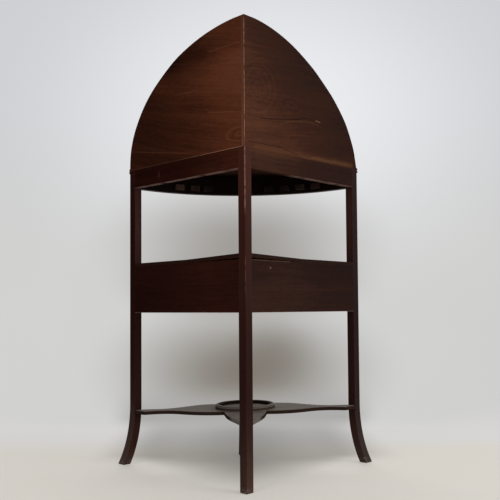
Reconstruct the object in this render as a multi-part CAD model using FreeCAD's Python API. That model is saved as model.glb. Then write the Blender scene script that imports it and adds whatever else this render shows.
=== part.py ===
import FreeCAD, Part
import math
import os

os.makedirs("parts", exist_ok=True)

# Corner washstand in millimetres
# Plan directions: u runs to the viewer's right of the front, d runs forward from the back corner

# Overall heights above the floor
overall_height = 1100.0
joint_line_height = 792.0
rail_height = 49.0
shelf_top_height = 540.0
tier_height = 131.0
stretcher_top_height = 155.0
stretcher_side_drop = 4.5

# Plan
wall_length = 434.0
leg_side = 21.5
bow_radius = 400.0
bow_setback = 3.5

# Legs
foot_sweep_height = 165.0
foot_throw_outer = 53.8
foot_throw_inner = 49.2
front_throw_outer = 21.5
front_throw_inner = 18.0
foot_chamfer = 1.0

# Splash boards
splash_thickness = 9.5
left_outline_shares = (
    (0.112, 0.997), (0.242, 0.968), (0.347, 0.926), (0.436, 0.876), (0.515, 0.821), (0.590, 0.761),
    (0.656, 0.697), (0.719, 0.631), (0.778, 0.562), (0.829, 0.489), (0.876, 0.414), (0.914, 0.335),
    (0.944, 0.254), (0.970, 0.171), (0.986, 0.085),
)
right_outline_shares = (
    (0.114, 0.998), (0.256, 0.975), (0.374, 0.939), (0.475, 0.894), (0.564, 0.842), (0.639, 0.782),
    (0.707, 0.719), (0.770, 0.653), (0.825, 0.583), (0.872, 0.509), (0.911, 0.432), (0.945, 0.353),
    (0.971, 0.271), (0.989, 0.187), (0.998, 0.100),
)
splash_dowel_radius = 2.5
splash_dowel_length = 32.0
splash_dowel_shares = (0.18, 0.5, 0.82)

# Basin board
board_thickness = 8.0
board_seat_depth = 3.0
board_overhang = 8.0
board_nosing = 3.4
basin_hole_radius = 108.0
basin_hole_depth = 186.0
beaker_hole_radius = 31.0
beaker_hole_offset = 142.0
beaker_hole_depth = 322.0

# Moulding under the basin board
cove_height = 5.0
cove_projection = 4.0

# Upper rails
rail_thickness = 14.0
frieze_thickness = 16.0
block_height = 15.0
block_width = 25.0
block_thickness = 9.0
block_rise = 8.0
block_positions = (-203.0, -162.0, -118.0, -74.0, 102.0, 138.0, 180.0)

# Drawer tier
shelf_thickness = 8.0
shelf_overhang = 3.0
shelf_warp_depth = 145.0
shelf_warp_rise = 6.5
panel_thickness = 10.0
bow_rail_depth = 24.0
bottom_rail_height = 13.0
top_rail_height = 12.0
base_thickness = 7.0
base_groove_depth = 3.0
base_ledge_depth = 12.0
partition_offset = 95.0
partition_thickness = 8.0
partition_back = 122.0
dummy_thickness = 16.0

# Drawer
drawer_gap = 1.0
drawer_running_gap = 0.3
drawer_front_thickness = 27.3
drawer_side_thickness = 8.0
drawer_back_depth = 150.0
drawer_back_drop = 10.0
drawer_bottom_thickness = 5.0
drawer_bottom_rise = 6.0
drawer_groove_depth = 4.0
tail_length = 8.0
tail_flare = 2.0
tail_count = 3
tail_width = 16.0
stop_length = 12.0
stop_width = 24.0
stop_height = 14.0
stop_offset = 60.0

# Cock beads
bead_width = 3.0
bead_depth = 6.0
bead_projection = 1.5

# Knobs
knob_radius = 9.0
knob_neck_radius = 4.0
knob_flange_radius = 7.5
knob_flange_thickness = 2.0
knob_neck_length = 7.0
knob_head_length = 10.0
knob_shank_radius = 2.2
knob_nut_radius = 6.0
knob_nut_thickness = 4.0
knob_shank_extra = 7.0
dummy_knob_offset = 186.0

# Stretcher
stretcher_thickness = 9.0
stretcher_back_end = 22.0
stretcher_front_reach = 7.0
stretcher_end_half_width = 12.0
stretcher_stub_length = 6.0
stretcher_stub_inset = 6.0
stretcher_wall_inset = 1.0
dish_leg_gap = 38.87
dish_outer_radius = 79.0
dish_inner_radius = 65.0
dish_height = 12.0
dish_floor = 3.0
dish_round_share = 0.6
dish_cove_share = 0.35

# Stretcher corners in shares of the wall length, then of the run from the dish to the front leg
back_cusp_share = (0.128, 0.532)
near_wall_share = 0.862
front_cusp_share = (0.152, 0.755)

# Stretcher curves as shares along and across the line between two corners
back_arm_shares = (
    (0.0733, -0.0061), (0.1767, -0.001), (0.2704, 0.0062), (0.3593, 0.0146), (0.4587, 0.0247),
    (0.5669, 0.0282), (0.6944, 0.0264), (0.86, 0.012),
)
near_edge_shares = (
    (0.0757, 0.0201), (0.17, 0.0304), (0.2664, 0.028), (0.3655, 0.0093), (0.4718, -0.0236),
    (0.5794, -0.0649), (0.6889, -0.0886), (0.7936, -0.0828), (0.8987, -0.0506),
)
far_edge_shares = (
    (0.092, -0.0224), (0.2084, -0.0663), (0.3381, -0.0743), (0.4687, -0.041), (0.6044, 0.0061),
    (0.7435, 0.0495), (0.8688, 0.0427),
)
front_arm_shares = (
    (0.3144, -0.0001), (0.6172, 0.0142), (0.8598, 0.0181),
)

# Joints and clearances
tenon_share = 0.4
tenon_inset = 7.0
joint_slack = 0.1
end_slack = 1.0
curve_gap = 0.3
overrun = 5.0

# Derived values
root_half = 1.0 / math.sqrt(2.0)
origin = FreeCAD.Vector(0, 0, 0)
up = FreeCAD.Vector(0, 0, 1)
seat_height = joint_line_height - board_seat_depth
board_top_height = seat_height + board_thickness
rail_bottom_height = joint_line_height - rail_height
tier_bottom_height = shelf_top_height - tier_height
shelf_bottom_height = shelf_top_height - shelf_thickness
front_low = tier_bottom_height + bottom_rail_height
front_high = shelf_bottom_height - top_rail_height
base_bottom_height = front_low - base_thickness
stretcher_bottom_height = stretcher_top_height - stretcher_thickness
leg_inner = wall_length - leg_side
tenon_length = leg_side - rail_thickness * (1 + tenon_share) / 2 - curve_gap
stretcher_lean = math.degrees(math.atan2(stretcher_side_drop, leg_inner * root_half))
bow_end_a = wall_length - bow_setback
bow_end_u = (bow_end_a - leg_side) * root_half
bow_end_d = (bow_end_a + leg_side) * root_half
bow_center = bow_end_d - math.sqrt(bow_radius * bow_radius - bow_end_u * bow_end_u)
bow_front = bow_center + bow_radius
frieze_inner_radius = bow_radius - frieze_thickness
rail_inner_radius = bow_radius - bow_rail_depth
front_leg_outer = bow_front * root_half
front_leg_inner = front_leg_outer - leg_side
front_leg_edge = front_leg_inner / root_half
dish_center_depth = front_leg_edge - dish_outer_radius - dish_leg_gap
front_foot_tip = (front_leg_outer + front_throw_outer) / root_half
back_line = front_foot_tip / 2.0
drawer_front_back = bow_front - drawer_front_thickness
drawer_half_width = partition_offset - drawer_gap
drawer_low = front_low + drawer_running_gap
drawer_high = front_high - drawer_gap


# Helpers in the plan frame, before the whole is centred
def point(u, d, z):
    return FreeCAD.Vector(u, -d, z)


def box(u_range, d_range, z_range):
    size = (u_range[1] - u_range[0], d_range[1] - d_range[0], z_range[1] - z_range[0])
    return Part.makeBox(size[0], size[1], size[2], point(u_range[0], d_range[1], z_range[0]))


def wall_place(shape):
    turned = shape.copy()
    turned.rotate(origin, up, -135.0)
    return turned


# Distances along the left wall (a) and along the right wall (b)
def wall_box(a_range, b_range, z_range):
    size = (a_range[1] - a_range[0], b_range[1] - b_range[0], z_range[1] - z_range[0])
    corner = FreeCAD.Vector(a_range[0], b_range[0], z_range[0])
    return wall_place(Part.makeBox(size[0], size[1], size[2], corner))


def mirrored(shape):
    return shape.mirror(origin, FreeCAD.Vector(1, 0, 0))


def bow_disc(radius, z_range):
    return Part.makeCylinder(radius, z_range[1] - z_range[0], point(0, bow_center, z_range[0]))


def bow_band(outer, inner, z_range):
    return bow_disc(outer, z_range).cut(bow_disc(inner, z_range))


def room_side(inset, z_range):
    reach = wall_length + board_overhang + overrun
    return wall_box((inset, reach), (inset, reach), z_range)


def fused(shapes):
    whole = shapes[0]
    for shape in shapes[1:]:
        whole = whole.fuse(shape)
    return whole.removeSplitter()


def save(name, shape):
    moved = shape.copy()
    moved.translate(FreeCAD.Vector(0, back_line, 0))
    moved.exportStep("parts/" + name + ".step")


def compound(shapes):
    return Part.makeCompound(shapes)


# The stretcher leans down towards the right leg
def leaned(shape):
    moved = shape.copy()
    moved.rotate(point(0, 0, stretcher_top_height), FreeCAD.Vector(0, 1, 0), stretcher_lean)
    return moved


# A leg profile standing in the a-z plane, swept outwards below the sweep height
def swept_profile(inner, outer, inner_throw, outer_throw, top):
    def bend(start, throw, share):
        radius = (foot_sweep_height ** 2 + throw ** 2) / (2 * throw)
        drop = foot_sweep_height * share
        out = radius - math.sqrt(radius ** 2 - drop ** 2)
        return FreeCAD.Vector(start + out, 0, foot_sweep_height - drop)

    half_share = 0.5
    edges = [
        Part.makeLine(FreeCAD.Vector(inner, 0, top), FreeCAD.Vector(outer, 0, top)),
        Part.makeLine(FreeCAD.Vector(outer, 0, top), bend(outer, outer_throw, 0.0)),
        Part.Arc(bend(outer, outer_throw, 0.0), bend(outer, outer_throw, half_share),
                 bend(outer, outer_throw, 1.0)).toShape(),
        Part.makeLine(bend(outer, outer_throw, 1.0), bend(inner, inner_throw, 1.0)),
        Part.Arc(bend(inner, inner_throw, 1.0), bend(inner, inner_throw, half_share),
                 bend(inner, inner_throw, 0.0)).toShape(),
        Part.makeLine(bend(inner, inner_throw, 0.0), FreeCAD.Vector(inner, 0, top)),
    ]
    return Part.Face(Part.Wire(Part.__sortEdges__(edges)))


def bottom_edges(shape):
    found = []
    for edge in shape.Edges:
        box_of_edge = edge.BoundBox
        if box_of_edge.ZMax < foot_chamfer / 2:
            found.append(edge)
    return found


# Legs
back_leg = wall_box((0, leg_side), (0, leg_side), (0, joint_line_height))
back_leg = back_leg.makeChamfer(foot_chamfer, bottom_edges(back_leg))

side_face = swept_profile(leg_inner, wall_length, foot_throw_inner, foot_throw_outer, joint_line_height)
left_leg = side_face.extrude(FreeCAD.Vector(0, leg_side, 0))
left_leg = wall_place(left_leg.makeChamfer(foot_chamfer, bottom_edges(left_leg)))

front_face = swept_profile(front_leg_inner, front_leg_outer, front_throw_inner, front_throw_outer,
                           tier_bottom_height)
sweep_reach = wall_length
front_a = front_face.extrude(FreeCAD.Vector(0, sweep_reach, 0))
front_b = front_a.mirror(origin, FreeCAD.Vector(1, -1, 0))
front_leg = front_a.common(front_b)
front_leg = wall_place(front_leg.makeChamfer(foot_chamfer, bottom_edges(front_leg)))


# Tenoned straight members along the left wall
def wall_member(thickness, z_range):
    body = wall_box((leg_side, leg_inner), (0, thickness), z_range)
    inset = thickness * (1 - tenon_share) / 2
    side = (inset, thickness - inset)
    heights = (z_range[0] + tenon_inset, z_range[1] - tenon_inset)
    near = wall_box((leg_side - tenon_length, leg_side + overrun), side, heights)
    far = wall_box((leg_inner - overrun, leg_inner + tenon_length), side, heights)
    return fused([body, near, far])


def member_mortises(thickness, z_range):
    inset = thickness * (1 - tenon_share) / 2 - joint_slack
    side = (inset, thickness - inset)
    heights = (z_range[0] + tenon_inset - joint_slack, z_range[1] - tenon_inset + joint_slack)
    depth = tenon_length + end_slack
    near = wall_box((leg_side - depth, leg_side + overrun), side, heights)
    far = wall_box((leg_inner - overrun, leg_inner + depth), side, heights)
    return [near, far]


rail_range = (rail_bottom_height, joint_line_height)
panel_range = (tier_bottom_height, shelf_bottom_height)
left_rail = wall_member(rail_thickness, rail_range)
left_panel = wall_member(panel_thickness, panel_range)
wall_mortises = member_mortises(rail_thickness, rail_range) + member_mortises(panel_thickness, panel_range)


# Bowed members with a tenon into the left leg, and by mirroring into the right
def bow_tenon(z_range, slack, reach):
    middle = bow_end_a - frieze_thickness / 2
    half = frieze_thickness * tenon_share / 2 + slack
    heights = (z_range[0] - slack, z_range[1] + slack)
    return wall_box((middle - half, middle + half), (leg_side - reach, leg_side + overrun), heights)


def bow_member(inner, z_range, tenon_range):
    body = bow_band(bow_radius, inner, z_range).common(room_side(leg_side, z_range))
    tenon = bow_tenon(tenon_range, 0.0, tenon_length)
    return fused([body, tenon, mirrored(tenon)])


frieze_range = (rail_bottom_height, seat_height)
low_rail_range = (tier_bottom_height, front_low)
high_rail_range = (front_high, shelf_bottom_height)
thin_inset_share = 0.25


def thin_range(z_range):
    inset = (z_range[1] - z_range[0]) * thin_inset_share
    return (z_range[0] + inset, z_range[1] - inset)


frieze_tenon = (frieze_range[0] + tenon_inset, frieze_range[1] - tenon_inset)
frieze = bow_member(frieze_inner_radius, frieze_range, frieze_tenon)
low_rail = bow_member(rail_inner_radius, low_rail_range, thin_range(low_rail_range))
high_rail = bow_member(rail_inner_radius, high_rail_range, thin_range(high_rail_range))
bow_mortises = []
for tenon_range in (frieze_tenon, thin_range(low_rail_range), thin_range(high_rail_range)):
    bow_mortises.append(bow_tenon(tenon_range, joint_slack, tenon_length + end_slack))

# Basin board, its seat in the rails, and its three openings
board_range = (seat_height, board_top_height)
board_edge = wall_length + board_overhang
splash_slot = wall_box((-overrun, wall_length), (-overrun, splash_thickness), board_range)
top_board = bow_disc(bow_radius + board_overhang, board_range)
top_board = top_board.common(wall_box((0, board_edge), (0, board_edge), board_range))
nosing = []
for edge in top_board.Edges:
    middle = edge.valueAt((edge.FirstParameter + edge.LastParameter) / 2)
    level = abs(edge.Vertexes[0].Z - edge.Vertexes[-1].Z) < curve_gap
    along_wall = abs(abs(middle.x) + middle.y) < curve_gap
    if level and not along_wall:
        nosing.append(edge)
top_board = top_board.makeFillet(board_nosing, nosing)
top_board = top_board.cut(splash_slot).cut(mirrored(splash_slot))
board_seat = wall_box((splash_thickness, board_edge), (splash_thickness, board_edge),
                      (seat_height, joint_line_height + overrun))
hole_range = (seat_height - overrun, board_top_height + overrun)
hole_length = hole_range[1] - hole_range[0]
top_board = top_board.cut(Part.makeCylinder(basin_hole_radius, hole_length,
                                            point(0, basin_hole_depth, hole_range[0])))
for side in (-1, 1):
    center = point(side * beaker_hole_offset, beaker_hole_depth, hole_range[0])
    top_board = top_board.cut(Part.makeCylinder(beaker_hole_radius, hole_length, center))

# Small cove under the overhang, a bowed length and two short returns
cove_range = (seat_height - cove_height, seat_height)
cove_reach = wall_length + cove_projection
cove = bow_disc(bow_radius + cove_projection, cove_range).cut(bow_disc(bow_radius + curve_gap, cove_range))
bow_cove = cove.common(room_side(leg_side, cove_range))
left_cove = wall_box((wall_length, cove_reach), (0, leg_side), cove_range)

# Splash boards
splash_rise = overall_height - joint_line_height


def splash_board(start, outline_shares):
    curve_points = [FreeCAD.Vector(0, 0, overall_height)]
    for share_a, share_z in outline_shares:
        height = joint_line_height + splash_rise * share_z
        curve_points.append(FreeCAD.Vector(wall_length * share_a, 0, height))
    end_point = FreeCAD.Vector(wall_length, 0, joint_line_height)
    curve_points.append(end_point)
    curve = Part.BSplineCurve()
    curve.interpolate(curve_points)
    corner = FreeCAD.Vector(0, 0, joint_line_height)
    edges = [curve.toShape(), Part.makeLine(end_point, corner), Part.makeLine(corner, curve_points[0])]
    board = Part.Face(Part.Wire(edges)).extrude(FreeCAD.Vector(0, splash_thickness, 0))
    keep = wall_box((start, board_edge), (0, splash_thickness), (joint_line_height, overall_height))
    return wall_place(board).common(keep)


left_splash = splash_board(0.0, left_outline_shares)
right_splash = mirrored(splash_board(splash_thickness, right_outline_shares))


def splash_dowels(slack):
    pegs = []
    length = splash_dowel_length + 2 * slack
    for share in splash_dowel_shares:
        base = FreeCAD.Vector(wall_length * share, splash_thickness / 2, joint_line_height - length / 2)
        pegs.append(wall_place(Part.makeCylinder(splash_dowel_radius + slack, length, base)))
    return pegs


dowel_holes = compound(splash_dowels(curve_gap))
left_splash = left_splash.cut(dowel_holes)
right_splash = right_splash.cut(mirrored(dowel_holes))
left_rail = left_rail.cut(board_seat).cut(dowel_holes)

# Glue blocks behind the frieze
blocks = []
block_outer = frieze_inner_radius - curve_gap
block_back = bow_center + block_outer - block_thickness
block_range = (rail_bottom_height + block_rise, rail_bottom_height + block_rise + block_height)
for position in block_positions:
    angle = math.degrees(math.asin(position / block_outer))
    block = box((-block_width / 2, block_width / 2), (block_back, block_back + block_thickness + overrun),
                block_range)
    block.rotate(point(0, bow_center, 0), up, angle)
    blocks.append(block.common(bow_disc(block_outer, block_range)))

# Shelf over the drawer tier, its back corner warped upwards
shelf_range = (shelf_bottom_height, shelf_top_height)
shelf = bow_disc(bow_radius + shelf_overhang, shelf_range)
shelf = shelf.common(wall_box((0, wall_length), (0, wall_length), shelf_range))
side_notch = wall_box((leg_inner, board_edge + overrun), (-overrun, leg_side), shelf_range)
shelf = shelf.cut(side_notch).cut(mirrored(side_notch))
shelf_corner = box((-wall_length, wall_length), (-overrun, shelf_warp_depth), shelf_range)
warped_corner = shelf.common(shelf_corner)
warped_corner.rotate(point(0, shelf_warp_depth, shelf_bottom_height), FreeCAD.Vector(1, 0, 0),
                     math.degrees(math.atan2(shelf_warp_rise, shelf_warp_depth)))
shelf = fused([shelf.cut(shelf_corner), warped_corner])
shelf_notch_range = (shelf_bottom_height, shelf_top_height + shelf_warp_rise + overrun)
shelf = shelf.cut(wall_box((-overrun, leg_side), (-overrun, leg_side), shelf_notch_range))

# Base of the drawer tier, let into the panels and onto the low rail
base_range = (base_bottom_height, front_low)
base_front = bow_radius - base_ledge_depth
base_inset = panel_thickness - base_groove_depth
base = bow_disc(base_front - curve_gap, base_range).common(room_side(base_inset, base_range))
leg_stack = [
    wall_box((-overrun, leg_side), (-overrun, leg_side), base_range),
    wall_box((leg_inner, board_edge + overrun), (-overrun, leg_side), base_range),
    wall_box((-overrun, leg_side), (leg_inner, board_edge + overrun), base_range),
]
for leg_shape in leg_stack:
    base = base.cut(leg_shape)
low_rail = low_rail.cut(bow_disc(base_front, (base_bottom_height, front_low + overrun)))
groove = wall_box((leg_side, leg_inner), (base_inset - joint_slack, panel_thickness + overrun), base_range)
left_panel = left_panel.cut(groove)

# Partitions beside the drawer
partition_range = (front_low, shelf_bottom_height)
left_partition = box((-partition_offset - partition_thickness, -partition_offset),
                     (partition_back, bow_front), partition_range)
left_partition = left_partition.common(bow_disc(bow_radius, partition_range))
rail_notch = bow_band(bow_radius + overrun, rail_inner_radius - curve_gap, high_rail_range)
left_partition = left_partition.cut(rail_notch)

# Dummy fronts and their beads
front_range = (front_low, front_high)
dummy_edge = partition_offset + partition_thickness
reach_zone = (0, bow_front + overrun)
dummy_zone = box((-wall_length, -dummy_edge), reach_zone, front_range)
dummy_zone = dummy_zone.common(room_side(leg_side, front_range))
left_dummy = bow_band(bow_radius, bow_radius - dummy_thickness, front_range).common(dummy_zone)


def bead_strips(zone, strip_zones):
    strips = []
    used = None
    for strip_zone in strip_zones:
        strip = zone.common(strip_zone)
        if used is not None:
            strip = strip.cut(used)
        strips.append(strip)
        used = strip if used is None else used.fuse(strip)
    return strips


def level_zones(z_range):
    full = (-wall_length, wall_length)
    return [
        box(full, reach_zone, (z_range[1] - bead_width, z_range[1])),
        box(full, reach_zone, (z_range[0], z_range[0] + bead_width)),
    ]


bead_outer = bow_radius + bead_projection
bead_inner = bow_radius - bead_depth
dummy_bead_zones = level_zones(front_range) + [
    box((-dummy_edge - bead_width, -dummy_edge), reach_zone, front_range),
    wall_box((0, board_edge), (leg_side, leg_side + bead_width), front_range),
]
left_dummy_beads = bead_strips(bow_band(bead_outer, bead_inner, front_range).common(dummy_zone),
                               dummy_bead_zones)
bead_bed = bow_band(bow_radius + overrun, bead_inner - curve_gap, front_range)
for zone in dummy_bead_zones:
    left_dummy = left_dummy.cut(bead_bed.common(zone))

# Drawer
drawer_range = (drawer_low, drawer_high)
drawer_zone = box((-drawer_half_width, drawer_half_width), reach_zone, drawer_range)
drawer_front = bow_disc(bow_radius, drawer_range).common(drawer_zone)
drawer_front = drawer_front.common(box((-wall_length, wall_length), (drawer_front_back, bow_front + overrun),
                                       drawer_range))
drawer_bead_zones = level_zones(drawer_range) + [
    box((-drawer_half_width, -drawer_half_width + bead_width), reach_zone, drawer_range),
    box((drawer_half_width - bead_width, drawer_half_width), reach_zone, drawer_range),
]
drawer_beads = bead_strips(bow_band(bead_outer, bead_inner, drawer_range).common(drawer_zone),
                           drawer_bead_zones)
for zone in drawer_bead_zones:
    drawer_front = drawer_front.cut(bead_bed.common(zone))


def dovetails():
    tails = []
    pitch = (drawer_high - drawer_low) / tail_count
    for index in range(tail_count):
        middle = drawer_low + pitch * (index + 0.5)
        narrow = tail_width / 2 - tail_flare
        wide = tail_width / 2
        start = drawer_front_back
        end = drawer_front_back + tail_length
        u_side = -drawer_half_width
        corners = [
            point(u_side, start, middle - narrow), point(u_side, end, middle - wide),
            point(u_side, end, middle + wide), point(u_side, start, middle + narrow),
        ]
        face = Part.Face(Part.makePolygon(corners + [corners[0]]))
        tails.append(face.extrude(FreeCAD.Vector(drawer_side_thickness, 0, 0)))
    return tails


drawer_left_side = box((-drawer_half_width, -drawer_half_width + drawer_side_thickness),
                       (drawer_back_depth, drawer_front_back), drawer_range)
tails = dovetails()
drawer_left_side = fused([drawer_left_side] + tails)
tail_block = compound(tails)
drawer_front = drawer_front.cut(tail_block).cut(mirrored(tail_block))

inner_half = drawer_half_width - drawer_side_thickness
bottom_range = (drawer_low + drawer_bottom_rise, drawer_low + drawer_bottom_rise + drawer_bottom_thickness)
grooved_half = inner_half + drawer_groove_depth
bottom_reach = (drawer_back_depth, drawer_front_back + drawer_groove_depth)
drawer_bottom = box((-grooved_half, grooved_half), bottom_reach, bottom_range)
drawer_left_side = drawer_left_side.cut(drawer_bottom)
drawer_front = drawer_front.cut(drawer_bottom)
drawer_back = box((-inner_half, inner_half), (drawer_back_depth, drawer_back_depth + drawer_side_thickness),
                  (bottom_range[1], drawer_high - drawer_back_drop))

# Stops behind the drawer on the tier base
stops = []
for side in (-1, 1):
    middle = side * stop_offset
    stops.append(box((middle - stop_width / 2, middle + stop_width / 2),
                     (drawer_back_depth - curve_gap - stop_length, drawer_back_depth - curve_gap),
                     (front_low, front_low + stop_height)))


# Turned knob along the depth direction, its shank and nut behind the front
def turned(profile):
    corners = [point(radius, depth, 0) for radius, depth in profile]
    face = Part.Face(Part.makePolygon(corners + [corners[0]]))
    return face.revolve(origin, FreeCAD.Vector(0, 1, 0), 360)


def knob_set(back_depth):
    start = bow_front + joint_slack
    flange_end = start + knob_flange_thickness
    neck_end = flange_end + knob_neck_length
    head_end = neck_end + knob_head_length
    head_shares = ((0.0, 0.62), (0.25, 0.93), (0.5, 1.0), (0.75, 0.86), (0.92, 0.55), (1.0, 0.2))
    nut_face = back_depth - joint_slack
    profile = [(0, nut_face - knob_shank_extra), (knob_shank_radius, nut_face - knob_shank_extra),
               (knob_shank_radius, start), (knob_flange_radius, start), (knob_flange_radius, flange_end),
               (knob_neck_radius, flange_end), (knob_neck_radius, neck_end)]
    for along, out in head_shares:
        profile.append((knob_radius * out, neck_end + knob_head_length * along))
    profile.append((0, head_end))
    knob = turned(profile)
    bore = knob_shank_radius + curve_gap
    nut = turned([(bore, nut_face - knob_nut_thickness), (knob_nut_radius, nut_face - knob_nut_thickness),
                  (knob_nut_radius, nut_face), (bore, nut_face)])
    hole = turned([(0, back_depth - overrun), (bore, back_depth - overrun), (bore, start), (0, start)])
    return knob, nut, hole


knob_height = (front_low + front_high) / 2
dummy_angle = math.degrees(math.asin(dummy_knob_offset / bow_radius))


def lifted(shape, angle):
    moved = shape.copy()
    moved.translate(FreeCAD.Vector(0, 0, knob_height))
    moved.rotate(point(0, bow_center, 0), up, angle)
    return moved


drawer_knob, drawer_nut, drawer_bore = knob_set(drawer_front_back)
drawer_front = drawer_front.cut(lifted(drawer_bore, 0.0))
dummy_knob, dummy_nut, dummy_bore = knob_set(bow_front - dummy_thickness)
left_dummy = left_dummy.cut(lifted(dummy_bore, -dummy_angle))


# Stretcher platform
def wall_point(a, b):
    return point((a - b) * root_half, (a + b) * root_half, stretcher_bottom_height)


def curve_between(start, end, shares):
    run = end - start
    across = FreeCAD.Vector(-run.y, run.x, 0)
    curve = Part.BSplineCurve()
    curve.interpolate([start] + [start + run * pair[0] + across * pair[1] for pair in shares] + [end])
    return curve.toShape()


stretcher_front_end = front_leg_edge + stretcher_front_reach
front_run = front_leg_edge - dish_center_depth
back_start = point(stretcher_end_half_width, stretcher_back_end, stretcher_bottom_height)
back_clear = point(stretcher_end_half_width, leg_side / root_half + overrun, stretcher_bottom_height)
front_clear = point(stretcher_end_half_width, front_leg_edge - overrun, stretcher_bottom_height)
front_end = point(stretcher_end_half_width, stretcher_front_end, stretcher_bottom_height)
near_wall = wall_point(wall_length * near_wall_share, stretcher_wall_inset)
near_leg = wall_point(leg_inner, stretcher_wall_inset)
far_leg = wall_point(leg_inner, leg_side - stretcher_wall_inset)
back_cusp = point(wall_length * back_cusp_share[0], wall_length * back_cusp_share[1],
                  stretcher_bottom_height)
front_cusp = point(wall_length * front_cusp_share[0], dish_center_depth + front_run * front_cusp_share[1],
                   stretcher_bottom_height)
half_edges = [
    Part.makeLine(back_start, back_clear),
    curve_between(back_clear, back_cusp, back_arm_shares),
    curve_between(back_cusp, near_wall, near_edge_shares),
    Part.makeLine(near_wall, near_leg),
    Part.makeLine(near_leg, far_leg),
    curve_between(far_leg, front_cusp, far_edge_shares),
    curve_between(front_cusp, front_clear, front_arm_shares),
    Part.makeLine(front_clear, front_end),
    Part.makeLine(front_end, point(0, stretcher_front_end, stretcher_bottom_height)),
    Part.makeLine(point(0, stretcher_front_end, stretcher_bottom_height),
                  point(0, stretcher_back_end, stretcher_bottom_height)),
    Part.makeLine(point(0, stretcher_back_end, stretcher_bottom_height), back_start),
]
half_plate = Part.Face(Part.Wire(half_edges)).extrude(FreeCAD.Vector(0, 0, stretcher_thickness))
stretcher_range = (stretcher_bottom_height, stretcher_top_height)


def side_stub(slack, reach):
    return wall_box((leg_inner - overrun, leg_inner + reach),
                    (stretcher_stub_inset - slack, leg_side - stretcher_stub_inset + slack), stretcher_range)


left_stub = side_stub(0.0, stretcher_stub_length)
stretcher = fused([half_plate, mirrored(half_plate), left_stub, mirrored(left_stub)])

# Turned dish for the ewer, standing on the platform
dish_base = point(0, dish_center_depth, stretcher_top_height)
dish_well = point(0, dish_center_depth, stretcher_top_height + dish_floor)
dish_wall = dish_height - dish_floor
dish = Part.makeCylinder(dish_outer_radius, dish_height, dish_base)
dish = dish.cut(Part.makeCylinder(dish_inner_radius, dish_height, dish_well))
rim_edges = [edge for edge in dish.Edges if edge.BoundBox.ZMin > dish_well.z + dish_wall / 2]
dish = dish.makeFillet(dish_wall * dish_round_share, rim_edges)
well_edges = [edge for edge in dish.Edges if abs(edge.BoundBox.ZMax - dish_well.z) < curve_gap]
dish = dish.makeFillet(dish_wall * dish_cove_share, well_edges)

# Housings in the legs
end_half = stretcher_end_half_width + joint_slack
back_housing = box((-end_half, end_half), (stretcher_back_end - joint_slack, bow_front), stretcher_range)
front_housing = box((-end_half, end_half), (0, stretcher_front_end + joint_slack), stretcher_range)
side_housing = side_stub(joint_slack, stretcher_stub_length + end_slack)
back_leg = back_leg.cut(leaned(back_housing)).cut(board_seat)
for mortise in wall_mortises:
    back_leg = back_leg.cut(mortise).cut(mirrored(mortise))
    left_leg = left_leg.cut(mortise)
for mortise in bow_mortises:
    left_leg = left_leg.cut(mortise)
left_leg = left_leg.cut(board_seat)
right_leg = mirrored(left_leg).cut(leaned(mirrored(side_housing)))
left_leg = left_leg.cut(leaned(side_housing))

# Front leg tenon into the low rail
leg_tenon_half = leg_side * tenon_share / 2
leg_tenon_center = (front_leg_inner + front_leg_outer) / 2
tenon_rise = bottom_rail_height * (1 - thin_inset_share)
tenon_ledge = base_bottom_height - tier_bottom_height - joint_slack
low_tenon_rise = min(tenon_rise, tenon_ledge)


def leg_tenon(slack, rise):
    side = (leg_tenon_center - leg_tenon_half - slack, leg_tenon_center + leg_tenon_half + slack)
    return wall_box(side, side, (tier_bottom_height - overrun, tier_bottom_height + rise))


front_leg = fused([front_leg.cut(leaned(front_housing)), leg_tenon(0.0, low_tenon_rise)])
low_rail = low_rail.cut(leg_tenon(joint_slack, low_tenon_rise))

# Named nodes
nodes = {
    "back_leg": back_leg,
    "left_leg": left_leg,
    "right_leg": right_leg,
    "front_leg": front_leg,
    "left_splash_board": left_splash,
    "right_splash_board": right_splash,
    "splash_dowels": compound(splash_dowels(0.0) + [mirrored(peg) for peg in splash_dowels(0.0)]),
    "basin_board": top_board,
    "bow_cove": bow_cove,
    "left_cove": left_cove,
    "right_cove": mirrored(left_cove),
    "upper_left_rail": left_rail,
    "upper_right_rail": mirrored(left_rail),
    "bow_frieze": frieze,
    "frieze_glue_blocks": compound(blocks),
    "tier_shelf": shelf,
    "left_side_panel": left_panel,
    "right_side_panel": mirrored(left_panel),
    "low_bow_rail": low_rail,
    "high_bow_rail": high_rail,
    "tier_base": base,
    "left_partition": left_partition,
    "right_partition": mirrored(left_partition),
    "left_dummy_front": left_dummy,
    "right_dummy_front": mirrored(left_dummy),
    "left_dummy_beads": compound(left_dummy_beads),
    "right_dummy_beads": compound([mirrored(strip) for strip in left_dummy_beads]),
    "left_dummy_knob": lifted(dummy_knob, -dummy_angle),
    "right_dummy_knob": lifted(dummy_knob, dummy_angle),
    "dummy_knob_nuts": compound([lifted(dummy_nut, -dummy_angle), lifted(dummy_nut, dummy_angle)]),
    "drawer_stops": compound(stops),
    "drawer_front": drawer_front,
    "drawer_left_side": drawer_left_side,
    "drawer_right_side": mirrored(drawer_left_side),
    "drawer_back": drawer_back,
    "drawer_bottom": drawer_bottom,
    "drawer_beads": compound(drawer_beads),
    "drawer_knob": lifted(drawer_knob, 0.0),
    "drawer_knob_nut": lifted(drawer_nut, 0.0),
    "stretcher_platform": leaned(stretcher),
    "ewer_dish": leaned(dish),
}
for name, shape in nodes.items():
    save(name, shape)
    print(name, len(shape.Solids), round(shape.Volume), shape.isValid())
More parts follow.
